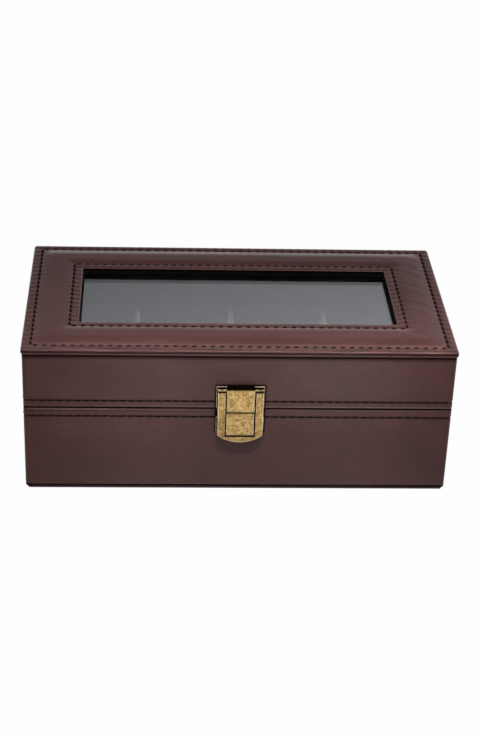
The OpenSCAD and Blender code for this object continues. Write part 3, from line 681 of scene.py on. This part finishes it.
def stuffed_shape(node):
    """A pillow's mesh, swollen by a cloth simulation from a slightly smaller copy of its CAD solid."""
    lo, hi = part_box(node)
    middle = (lo + hi) / 2
    mesh = nodes[node].data.copy()
    mesh.transform(Matrix.Translation(-middle))
    mesh.transform(Matrix.Diagonal(PILLOW_START))
    soft = bpy.data.objects.new("stuffing", mesh)
    bpy.context.scene.collection.objects.link(soft)
    bpy.context.view_layer.objects.active = soft
    remesh = soft.modifiers.new("remesh", "REMESH")
    remesh.mode = "VOXEL"
    remesh.voxel_size = PILLOW_VOXEL
    bpy.ops.object.modifier_apply(modifier=remesh.name)
    start = np.array([v.co for v in soft.data.vertices])
    cloth = soft.modifiers.new("cloth", "CLOTH")
    cloth.settings.quality = 6
    cloth.settings.mass = 0.15
    cloth.settings.use_pressure = True
    cloth.settings.uniform_pressure_force = 4
    cloth.settings.shrink_min = -0.02
    cloth.settings.effector_weights.gravity = 0
    cloth.collision_settings.use_collision = False
    scene = bpy.context.scene
    for step in range(1, CLOTH_FRAMES + 1):
        scene.frame_set(step)
    bpy.ops.object.modifier_apply(modifier=cloth.name)
    scene.frame_set(1)
    swollen = np.array([v.co for v in soft.data.vertices])
    move = swollen - start
    length = np.linalg.norm(move, axis=1, keepdims=True)
    swollen = start + move * np.minimum(1, MOST_SWELL / np.maximum(length, 1e-9))
    half = np.array((hi - lo) / 2)
    swollen = np.clip(swollen, -half, half)
    soft.data.vertices.foreach_set("co", swollen.astype(np.float32).ravel())
    shape = soft.data.copy()
    bpy.data.objects.remove(soft)
    return shape


def add_pillows(material):
    """Four pillows from one simulated shape, turned about so that no two neighbours look alike."""
    shape = stuffed_shape("pillow_1")
    for i in range(1, 5):
        node = f"pillow_{i}"
        lo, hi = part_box(node)
        mesh = shape.copy()
        mesh.materials.clear()
        if i % 2 == 0:
            mesh.transform(Matrix.Rotation(math.pi, 4, "Z"))
        mesh.transform(Matrix.Translation((lo + hi) / 2))
        mesh.shade_smooth()
        pillow = add_object(f"watch_pillow_{i}", mesh, f"watch_pillow_{i}", "pillow_suede", material)
        pillow.modifiers.new("smooth", "SUBSURF")
        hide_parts(node)


# Materials

def new_material(name):
    """A material with its shader and its node tree."""
    material = bpy.data.materials.new(name)
    material.use_nodes = True
    return material, material.node_tree.nodes["Principled BSDF"], material.node_tree


def add(tree, kind, values=None, **settings):
    """A new node with its settings, and with a value or a link at each named input."""
    made = tree.nodes.new("ShaderNode" + kind)
    for key, value in settings.items():
        setattr(made, key, value)
    for key, value in (values or {}).items():
        if isinstance(value, bpy.types.NodeSocket):
            tree.links.new(value, made.inputs[key])
        else:
            made.inputs[key].default_value = value
    return made


def mix(tree, share, first, second):
    """A colour between two colours."""
    return add(tree, "Mix", {0: share, 6: first, 7: second}, data_type="RGBA").outputs[2]


def spread(tree, value, low, high, from_low=0.3, from_high=0.7):
    """A value moved from one range to another."""
    ends = {"Value": value, "From Min": from_low, "From Max": from_high, "To Min": low, "To Max": high}
    return add(tree, "MapRange", ends).outputs["Result"]


def noise(tree, place, scale, detail, **values):
    """A cloudy pattern at a number of waves to the metre."""
    return add(tree, "TexNoise", {"Vector": place, "Scale": scale, "Detail": detail, **values}).outputs["Fac"]


def here(tree):
    """Places on the piece, in metres."""
    return add(tree, "TexCoord").outputs["Object"]


def attribute(tree, name):
    """A number that the mesh holds at each point."""
    return add(tree, "Attribute", attribute_name=name).outputs["Fac"]


def bump(tree, height, strength, distance):
    """A normal that follows a height."""
    values = {"Height": height, "Strength": strength, "Distance": distance}
    return add(tree, "Bump", values).outputs["Normal"]


def colour(r, g, b):
    """A solid colour in linear light."""
    return (r, g, b, 1.0)


def clasp_shade(tree, place):
    """Painted contact shadow: 1 on the leather behind the clasp and right beside it, and 0 away from it."""
    lo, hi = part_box("clasp_hinge_plate")
    round_end = 4 * MM
    foot_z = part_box("clasp_flap")[0].z + round_end
    middle = ((lo.x + hi.x) / 2, base_lo.y, (foot_z + hi.z) / 2)
    half = ((hi.x - lo.x) / 2, 2 * MM, (hi.z - foot_z) / 2)
    off = add(tree, "VectorMath", {0: place, 1: middle}, operation="SUBTRACT").outputs[0]
    off = add(tree, "VectorMath", {0: off}, operation="ABSOLUTE").outputs[0]
    off = add(tree, "VectorMath", {0: off, 1: half}, operation="SUBTRACT").outputs[0]
    off = add(tree, "VectorMath", {0: off, 1: (0, 0, 0)}, operation="MAXIMUM").outputs[0]
    away = add(tree, "VectorMath", {0: off}, operation="LENGTH").outputs["Value"]
    return spread(tree, away, 1.0, 0.0, 0.3 * MM, 1.3 * MM)


def leather_material():
    """Dark brown leatherette: a fine pebbled grain with a satin finish.

    It carries painted shade, near black and without gloss, in its grooves and gaps, beside its stitches and
    round the clasp, and pale painted highlights along edges and beside stitches.
    """
    dark, light = colour(0.058, 0.0240, 0.0225), colour(0.083, 0.0340, 0.0315)
    # The second and third colours here are those of the painted highlights and of the painted shade
    fleck, painted_highlight, sewn = colour(0.049, 0.0220, 0.0205), colour(0.19, 0.115, 0.10), colour(0.006, 0.002, 0.002)
    gloss = 0.21
    material, shader, tree = new_material("leatherette")
    place = here(tree)
    pebbles = {"Vector": place, "Scale": 2600.0}
    cells = add(tree, "TexVoronoi", pebbles, feature="SMOOTH_F1").outputs["Distance"]
    clouds = noise(tree, place, 38.0, 4.0)
    flecks = noise(tree, place, 420.0, 3.0)
    tone = mix(tree, spread(tree, clouds, 0.0, 1.0), dark, light)
    tone = mix(tree, spread(tree, flecks, 0.0, 0.35), tone, fleck)
    tone = mix(tree, attribute(tree, "edge"), tone, painted_highlight)
    # Painted shade from the mesh and round the clasp darkens the colour and takes away the gloss
    painted_shades = {0: attribute(tree, "seam"), 1: clasp_shade(tree, place)}
    seam = add(tree, "Math", painted_shades, operation="MAXIMUM").outputs[0]
    tone = mix(tree, seam, tone, sewn)
    tree.links.new(tone, shader.inputs["Base Color"])
    shader.inputs["Roughness"].default_value = 0.3
    tree.links.new(bump(tree, cells, 0.08, 0.1 * MM), shader.inputs["Normal"])
    tree.links.new(spread(tree, seam, gloss, 0.0, 0.0, 1.0), shader.inputs["Specular IOR Level"])
    return material


def thread_material():
    """Near-black brown waxed thread."""
    material, shader, tree = new_material("thread")
    place = here(tree)
    fibres = noise(tree, place, 2600.0, 4.0)
    tone = mix(tree, fibres, colour(0.005, 0.0014, 0.0013), colour(0.012, 0.0035, 0.0033))
    tree.links.new(tone, shader.inputs["Base Color"])
    tree.links.new(bump(tree, fibres, 0.4, 0.1 * MM), shader.inputs["Normal"])
    shader.inputs["Roughness"].default_value = 0.75
    shader.inputs["Specular IOR Level"].default_value = 0.06
    return material


def suede_material(name, dark, light, sheen=0.25):
    """Brushed suede: a soft nap that lies in patches."""
    material, shader, tree = new_material(name)
    place = here(tree)
    nap = noise(tree, place, 70.0, 5.0)
    pile = noise(tree, place, 1700.0, 3.0)
    tone = mix(tree, spread(tree, nap, 0.0, 1.0), dark, light)
    tone = mix(tree, spread(tree, pile, 0.0, 0.3), tone, dark)
    tree.links.new(tone, shader.inputs["Base Color"])
    tree.links.new(bump(tree, pile, 0.35, 0.2 * MM), shader.inputs["Normal"])
    shader.inputs["Roughness"].default_value = 0.95
    shader.inputs["Specular IOR Level"].default_value = 0.2
    shader.inputs["Sheen Weight"].default_value = sheen
    return material


def brass_material(name, dark, middle, light, least_rough, most_rough, metallic=1.0):
    """Antique brass: mottled tarnish over a speckled surface."""
    material, shader, tree = new_material(name)
    place = here(tree)
    patches = noise(tree, place, 520.0, 5.0, Roughness=0.65)
    specks = noise(tree, place, 1500.0, 3.0)
    tone = mix(tree, spread(tree, patches, 0.0, 1.0, 0.38, 0.60), middle, light)
    tone = mix(tree, spread(tree, specks, 0.85, 0.0, 0.36, 0.52), tone, dark)
    tree.links.new(tone, shader.inputs["Base Color"])
    tree.links.new(spread(tree, patches, most_rough, least_rough), shader.inputs["Roughness"])
    tree.links.new(bump(tree, specks, 0.25, 0.12 * MM), shader.inputs["Normal"])
    shader.inputs["Metallic"].default_value = metallic
    return material


def glass_material():
    """Clear glass with faint smears, which lets part of the lamps' light through."""
    material, shader, tree = new_material("window_glass")
    place = here(tree)
    smears = noise(tree, place, 60.0, 3.0)
    shader.inputs["Base Color"].default_value = colour(0.90, 0.92, 0.95)
    shader.inputs["Transmission Weight"].default_value = 1.0
    shader.inputs["IOR"].default_value = 1.5
    shader.inputs["Specular Tint"].default_value = colour(0.84, 0.86, 1.0)
    tree.links.new(spread(tree, smears, 0.0, 0.03, 0.45, 0.8), shader.inputs["Roughness"])
    clear = add(tree, "BsdfTransparent", {"Color": colour(0.21, 0.21, 0.22)})
    shadow = add(tree, "LightPath").outputs["Is Shadow Ray"]
    both = add(tree, "MixShader", {0: shadow, 1: shader.outputs["BSDF"], 2: clear.outputs["BSDF"]})
    tree.links.new(both.outputs["Shader"], tree.nodes["Material Output"].inputs["Surface"])
    return material


def fibre_material(name, dark, light, scale, roughness, gloss=0.3):
    """Board or rubber: a fibrous matt surface."""
    material, shader, tree = new_material(name)
    place = here(tree)
    fibres = noise(tree, place, scale, 6.0, Roughness=0.7)
    tree.links.new(mix(tree, spread(tree, fibres, 0.0, 1.0), dark, light), shader.inputs["Base Color"])
    tree.links.new(bump(tree, fibres, 0.3, 0.15 * MM), shader.inputs["Normal"])
    shader.inputs["Roughness"].default_value = roughness
    shader.inputs["Specular IOR Level"].default_value = gloss
    return material


def steel_material():
    """Blackened spring steel with a drawn grain."""
    material, shader, tree = new_material("spring_steel")
    place = here(tree)
    drawn = noise(tree, place, 900.0, 4.0)
    tone = mix(tree, drawn, colour(0.05, 0.045, 0.04), colour(0.11, 0.10, 0.09))
    tree.links.new(tone, shader.inputs["Base Color"])
    tree.links.new(spread(tree, drawn, 0.22, 0.4), shader.inputs["Roughness"])
    shader.inputs["Metallic"].default_value = 1.0
    return material


def paint(material, *names):
    """Gives CAD nodes that stay in view a material."""
    for name in names:
        slots = nodes[name].data.materials
        slots.clear()
        slots.append(material)


# The object

leather = leather_material()
thread = thread_material()
divider_suede = suede_material("divider_suede", colour(0.40, 0.34, 0.28), colour(0.52, 0.45, 0.38))
pillow_suede = suede_material("pillow_suede", colour(0.40, 0.33, 0.26), colour(0.54, 0.46, 0.37))
lining = suede_material("lining", colour(0.020, 0.012, 0.010), colour(0.034, 0.021, 0.018), sheen=0.0)
brass = brass_material(
    "antique_brass", colour(0.12, 0.07, 0.025), colour(0.28, 0.172, 0.058), colour(0.52, 0.36, 0.153),
    least_rough=0.28, most_rough=0.5)
# The plate's brass made darker for the hasp: painted shade
shaded_hasp_brass = brass_material(
    "shaded_hasp_brass", colour(0.10, 0.058, 0.02), colour(0.23, 0.141, 0.048), colour(0.43, 0.295, 0.125),
    least_rough=0.28, most_rough=0.5)
# Pale brass for rounded edges: wear with a painted highlight
highlit_brass_edge = brass_material(
    "worn_brass_edge_with_painted_highlight", colour(0.60, 0.44, 0.20), colour(0.90, 0.74, 0.42), colour(0.97, 0.86, 0.56),
    least_rough=0.25, most_rough=0.4, metallic=0.3)
# Near-black brass: painted shade on the clasp's sides and recesses
brass_in_painted_shade = brass_material(
    "painted_shade_brass", colour(0.004, 0.0025, 0.001), colour(0.009, 0.0055, 0.002), colour(0.02, 0.012, 0.005),
    least_rough=0.5, most_rough=0.7)
rubber = fibre_material(
    "black_seal", colour(0.004, 0.004, 0.004), colour(0.007, 0.006, 0.006),
    scale=900.0, roughness=0.9, gloss=0.05)
board = fibre_material(
    "board", colour(0.25, 0.18, 0.11), colour(0.40, 0.29, 0.18),
    scale=700.0, roughness=0.9)
steel = steel_material()

side_skin("base_wrap", "base", base_lo.z, base_hi.z, True, BASE_SEAM_DOWN, BOTTOM_EDGE_R, leather)
side_skin("lid_wrap", "lid", lid_lo.z, lid_hi.z, False, LID_SEAM_UP, LID_TOP_EDGE_R, leather)
padded_top(leather)
top_row("outer_top_stitches", OUTER_ROW, thread)
top_row("inner_top_stitches", INNER_ROW, thread)
side_row("lid_stitches", "lid", lid_lo.z + LID_SEAM_UP, LID_SLANT, thread)
side_row("base_stitches", "base", base_hi.z - BASE_SEAM_DOWN, BASE_SLANT, thread)
add_pillows(pillow_suede)

# Metal pieces with their bodies and the widths of their rounded edges, in millimetres
for node, body, width, face in (
    ("clasp_flap", "hasp", 0.36, shaded_hasp_brass),
    ("clasp_hinge_plate", "lid", 0.3, brass),
    ("clasp_catch", "base", 0.3, brass),
):
    worn_highlit_copy(node, body, width * MM, face, highlit_brass_edge, brass_in_painted_shade)
for node, body, width in (
    ("clasp_lid_rivets", "lid", 0.15), ("clasp_base_rivets", "base", 0.15), ("clasp_pin", "lid", 0.15),
    ("hinge_left_base_leaf", "base", 0.12), ("hinge_right_base_leaf", "base", 0.12),
    ("hinge_left_lid_leaf", "lid", 0.12), ("hinge_right_lid_leaf", "lid", 0.12),
    ("hinge_left_pin", "base", 0.15), ("hinge_right_pin", "base", 0.15),
    ("hinge_base_screws", "base", 0.08), ("hinge_lid_screws", "lid", 0.08),
):
    worn_highlit_copy(node, body, width * MM, brass, highlit_brass_edge)

WALLS = [(half, wall) for half in ("base", "lid") for wall in ("front", "back", "left", "right")]
paint(leather, "underside_panel")
paint(board, "base_bottom_board", "lid_top_board", *[f"{half}_{wall}_board" for half, wall in WALLS])
paint(lining, "floor_lining", "lid_ceiling_lining", "pane_retainer")
paint(lining, *[f"{half}_lining_{wall}" for half, wall in WALLS])
paint(divider_suede, "divider_left", "divider_middle", "divider_right")
paint(glass_material(), "window_pane")
paint(rubber, "window_seal")
paint(steel, "catch_spring")


# Stage, light and camera

FLOOR_REACH = 3
FLOOR_GLOW = 0.985

# The floor as glosses show it: its level past the ends of the box, its level before it, and where it fades
FLOOR_DIM, FLOOR_LIT = 0.6, 1.1
LIT_MIDDLE, LIT_HALF = 0.01, 0.16
LIT_FADE = (0.2, 0.75)

# Reflector cards: middle, half width, what they add near the box and what they add farther off
CARDS = ((-0.04, 0.06, 0.35, 1.3), (0.062, 0.06, 0.35, 2.0))
CARDS_FAR_Y, CARDS_NEAR_Y = -0.15, -0.12

# The world as glosses show it: a first and a last level each, and the direction's Z or X at both
HORIZON = (1.3, 0.05, 0.17, 0.31)
BAND_ACROSS = (0.74, 1.4, -0.1, 0.18)
BAND_RISE = (0.0, 0.62, 0.41, 0.435)
BAND_MORE = (0.0, 0.38, 0.44, 0.475)
BAND_FALL = (1.0, 0.1, 0.48, 0.505)


def math_node(tree, operation, *values):
    """The result of a sum on one, two or three values."""
    return add(tree, "Math", dict(enumerate(values)), operation=operation).outputs[0]


def seen_rays(tree):
    """1 for rays that show the background: from the camera, in a gloss or through glass."""
    path = add(tree, "LightPath").outputs
    direct = math_node(tree, "MAXIMUM", path["Is Camera Ray"], path["Is Glossy Ray"])
    return math_node(tree, "MAXIMUM", direct, path["Is Transmission Ray"])


def card(tree, place, middle, half):
    """1 at the middle of a soft-edged card on the floor, and 0 from its ends on."""
    off = math_node(tree, "ABSOLUTE", math_node(tree, "SUBTRACT", place, middle))
    ends = {"Value": off, "From Max": half, "To Min": 1.0, "To Max": 0.0}
    return add(tree, "MapRange", ends, interpolation_type="SMOOTHSTEP").outputs["Result"]


def front_gloss(tree):
    """The floor as glosses show it: dim past the ends of the box, with two bright cards in front of it."""
    place = add(tree, "SeparateXYZ", {0: add(tree, "NewGeometry").outputs["Position"]}).outputs
    level = spread(tree, card(tree, place["X"], LIT_MIDDLE, LIT_HALF), FLOOR_DIM, FLOOR_LIT, *LIT_FADE)
    for middle, half, near, far in CARDS:
        gain = spread(tree, place["Y"], far, near, CARDS_FAR_Y, CARDS_NEAR_Y)
        level = math_node(tree, "MULTIPLY_ADD", card(tree, place["X"], middle, half), gain, level)
    return level


def white_floor():
    """A white floor that keeps the object's faint shadow."""
    corners = [(x * FLOOR_REACH, y * FLOOR_REACH, 0) for x, y in ((-1, -1), (1, -1), (1, 1), (-1, 1))]
    mesh = smooth_mesh("floor", corners, [(0, 1, 2, 3)])
    floor = bpy.data.objects.new("floor", mesh)
    bpy.context.scene.collection.objects.link(floor)
    material, shader, tree = new_material("white_floor")
    shader.inputs["Base Color"].default_value = colour(0.35, 0.35, 0.35)
    shader.inputs["Roughness"].default_value = 0.9
    glossy = add(tree, "LightPath").outputs["Is Glossy Ray"]
    level = add(tree, "Mix", {0: glossy, 2: 1.0, 3: front_gloss(tree)}).outputs[0]
    glow = add(tree, "Emission", {"Color": colour(1, 1, 1), "Strength": level})
    share = math_node(tree, "MULTIPLY", seen_rays(tree), FLOOR_GLOW)
    both = add(tree, "MixShader", {0: share, 1: shader.outputs["BSDF"], 2: glow.outputs["Emission"]})
    tree.links.new(both.outputs["Shader"], tree.nodes["Material Output"].inputs["Surface"])
    mesh.materials.append(material)


def white_world(strength):
    """White light from all round and a white background.

    Glosses show it white by the horizon and dim above that.
    Then comes a pale band, brighter to the right, and overhead it is dark.
    """
    world = bpy.data.worlds.new("studio")
    bpy.context.scene.world = world
    world.use_nodes = True
    tree = world.node_tree
    background = tree.nodes["Background"]
    background.inputs["Color"].default_value = colour(1, 1, 1)
    way = add(tree, "SeparateXYZ", {0: add(tree, "TexCoord").outputs["Generated"]}).outputs
    horizon = spread(tree, way["Z"], *HORIZON)
    across = spread(tree, way["X"], *BAND_ACROSS)
    rise = math_node(tree, "ADD", spread(tree, way["Z"], *BAND_RISE), spread(tree, way["Z"], *BAND_MORE))
    fall = spread(tree, way["Z"], *BAND_FALL)
    band = math_node(tree, "MULTIPLY", math_node(tree, "MULTIPLY", rise, fall), across)
    gloss = math_node(tree, "MAXIMUM", horizon, band)
    path = add(tree, "LightPath").outputs
    level = add(tree, "Mix", {0: seen_rays(tree), 2: strength, 3: 1.0}).outputs[0]
    level = add(tree, "Mix", {0: path["Is Glossy Ray"], 2: level, 3: gloss}).outputs[0]
    tree.links.new(level, background.inputs["Strength"])


def softbox(name, place, target, width, height, power):
    """A rectangular lamp that faces a point."""
    lamp = bpy.data.lights.new(name, "AREA")
    lamp.shape = "RECTANGLE"
    lamp.size = width
    lamp.size_y = height
    lamp.energy = power
    made = bpy.data.objects.new(name, lamp)
    made.location = place
    made.rotation_euler = (Vector(target) - Vector(place)).to_track_quat("-Z", "Y").to_euler()
    bpy.context.scene.collection.objects.link(made)
    return made


# The camera that the photograph was taken with, from its straight edges: lengths in pixels, angles in radians
PICTURE_H = 736
FOCAL_PX = 1708.4
CAMERA_PLACE = (-0.04507, -0.78638, 0.48481)
PITCH, ROLL, YAW = 0.51565, 0.03815, -0.06137


def photo_camera():
    """The photograph's camera."""
    lens = bpy.data.cameras.new("photo")
    lens.lens = FOCAL_PX / PICTURE_H * lens.sensor_width
    cp, sp = math.cos(PITCH), math.sin(PITCH)
    cr, sr = math.cos(ROLL), math.sin(ROLL)
    cy, sy = math.cos(YAW), math.sin(YAW)
    turn = Matrix(((cy, sy, 0), (-sy, cy, 0), (0, 0, 1)))
    look = Matrix(((1, 0, 0), (0, 0, -1), (0, 1, 0)))
    tilt = Matrix(((1, 0, 0), (0, cp, -sp), (0, sp, cp)))
    roll = Matrix(((cr, -sr, 0), (sr, cr, 0), (0, 0, 1)))
    right, down, ahead = roll @ tilt @ look @ turn
    camera = bpy.data.objects.new("photo", lens)
    axes = Matrix((right, -down, -ahead)).transposed()
    camera.matrix_world = Matrix.Translation(CAMERA_PLACE) @ axes.to_4x4()
    bpy.context.scene.collection.objects.link(camera)
    bpy.context.scene.camera = camera


white_floor()
white_world(strength=0.27)
softbox("key", (0.45, -0.15, 0.9), (0, 0, 0.05), width=0.7, height=0.7, power=5.8)
softbox("fill", (-0.4, -0.7, 0.8), (0, 0, 0.04), width=0.8, height=0.8, power=1.65)
strip = softbox("strip", (0.02, -0.28, 0.5), (0.01, -0.062, 0.085), width=0.25, height=0.02, power=0.065)
strip.data.spread = math.radians(16)
strip.visible_glossy = False
photo_camera()
bpy.context.scene.view_settings.view_transform = "Standard"
